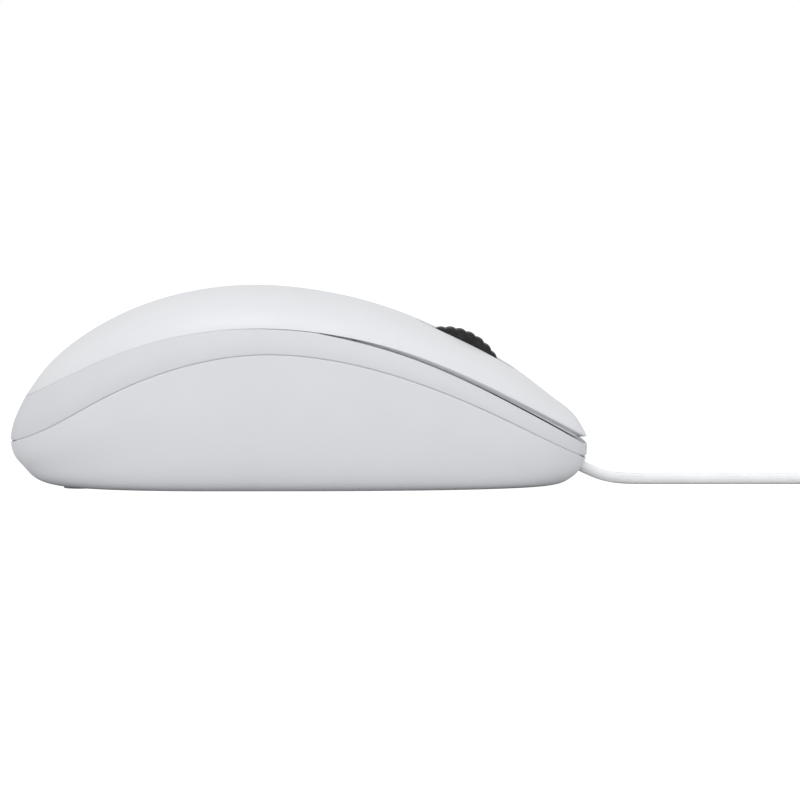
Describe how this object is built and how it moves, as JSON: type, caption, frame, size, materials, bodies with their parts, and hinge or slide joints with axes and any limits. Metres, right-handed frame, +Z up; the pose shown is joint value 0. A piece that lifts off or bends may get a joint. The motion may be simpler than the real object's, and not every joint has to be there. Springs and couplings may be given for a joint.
{
  "type": "computer mouse",
  "caption": "Low white wired desktop mouse for either hand: flexing left and right buttons, ribbed scroll wheel that turns and clicks, coiled cable with a USB plug.",
  "frame": {"origin": "on the desk under the middle of the mouse's length and width, without its cable", "axes": "+X to the nose where the cable leaves, +Y to the user's left, +Z up"},
  "size_m": [0.2078, 0.0637, 0.039],
  "materials": {
    "cover_white": "fine matt moulded texture",
    "case_white": "fine matt moulded texture",
    "carrier_white": "smooth satin moulding",
    "tyre_rubber": "ribbed soft rubber",
    "steel": "bright zinc plated",
    "board_green": "solder mask over glass laminate",
    "chip_black": "moulded epoxy",
    "lens_clear": "clear polished moulding",
    "led_red": "tinted clear epoxy",
    "plunger_brown": "smooth moulding",
    "header_ivory": "smooth moulding",
    "capacitor_sleeve": "shrunk sleeve with a bare top",
    "foot_white": "slippery polymer film",
    "label_white": "blank paper-like film",
    "cable_white": "satin PVC jacket",
    "tie_grey": "flat plastic strap",
    "plug_white": "overmoulded PVC",
    "plug_steel": "nickel plated",
    "contact_gold": "gold plated"
  },
  "bodies": {
    "base": {"lower_case": "case_white", "side_band": "case_white", "palm_cover": "cover_white", "case_screw": "steel", "front_foot": "foot_white", "rear_foot": "foot_white", "label_plate": "label_white", "circuit_board": "board_green", "board_screws": "steel", "optical_sensor": "chip_black", "sensor_lens": "lens_clear", "led": "led_red", "led_clip": "chip_black", "left_switch": "chip_black", "right_switch": "chip_black", "middle_switch": "chip_black", "scroll_emitter": "lens_clear", "scroll_receiver": "chip_black", "cable_header": "header_ivory", "capacitor": "capacitor_sleeve", "small_chips": "chip_black", "return_spring": "steel", "cable_gland": "cable_white", "inner_cable": "cable_white", "cable_run": "cable_white", "cable_coil": "cable_white", "cable_tail": "cable_white", "cable_tie": "tie_grey", "plug_body": "plug_white", "plug_shell": "plug_steel", "plug_insulator": "header_ivory", "plug_contacts": "contact_gold"},
    "left_key": {"left_button": "cover_white"},
    "right_key": {"right_button": "cover_white"},
    "left_pin": {"left_plunger": "plunger_brown"},
    "right_pin": {"right_plunger": "plunger_brown"},
    "middle_pin": {"middle_plunger": "plunger_brown"},
    "carrier": {"wheel_carrier": "carrier_white", "detent_spring": "steel"},
    "wheel": {"wheel_tyre": "tyre_rubber", "wheel_hub": "carrier_white"}
  },
  "joints": [
    {"name": "left_click", "type": "hinge", "parent": "base", "child": "left_key", "pos_m": [0.012, 0.014, 0.0345], "axis": [0, 1, 0], "range_deg": [0, 0.8], "stiffness_Nm_per_rad": 1.5, "springref_deg": -0.57},
    {"name": "right_click", "type": "hinge", "parent": "base", "child": "right_key", "pos_m": [0.012, -0.014, 0.0345], "axis": [0, 1, 0], "range_deg": [0, 0.8], "stiffness_Nm_per_rad": 1.5, "springref_deg": -0.57},
    {"name": "left_switch_press", "type": "slide", "parent": "base", "child": "left_pin", "axis": [0, 0, -1], "range_m": [0, 0.0004]},
    {"name": "right_switch_press", "type": "slide", "parent": "base", "child": "right_pin", "axis": [0, 0, -1], "range_m": [0, 0.0004]},
    {"name": "wheel_press", "type": "slide", "parent": "base", "child": "carrier", "axis": [0, 0, -1], "range_m": [0, 0.0004], "stiffness_N_per_m": 1200, "springref_m": -0.0005, "deforming": ["return_spring"]},
    {"name": "wheel_spin", "type": "hinge", "parent": "carrier", "child": "wheel", "pos_m": [0.0287, 0, 0.0193], "axis": [0, 1, 0], "continuous": true},
    {"name": "middle_switch_press", "type": "slide", "parent": "base", "child": "middle_pin", "axis": [0, 0, -1], "range_m": [0, 0.0004]}
  ],
  "couplings": [
    {"joint": "left_switch_press", "follows": "left_click", "m_per_rad": 0.026},
    {"joint": "right_switch_press", "follows": "right_click", "m_per_rad": 0.026},
    {"joint": "middle_switch_press", "follows": "wheel_press", "ratio": 1}
  ]
}
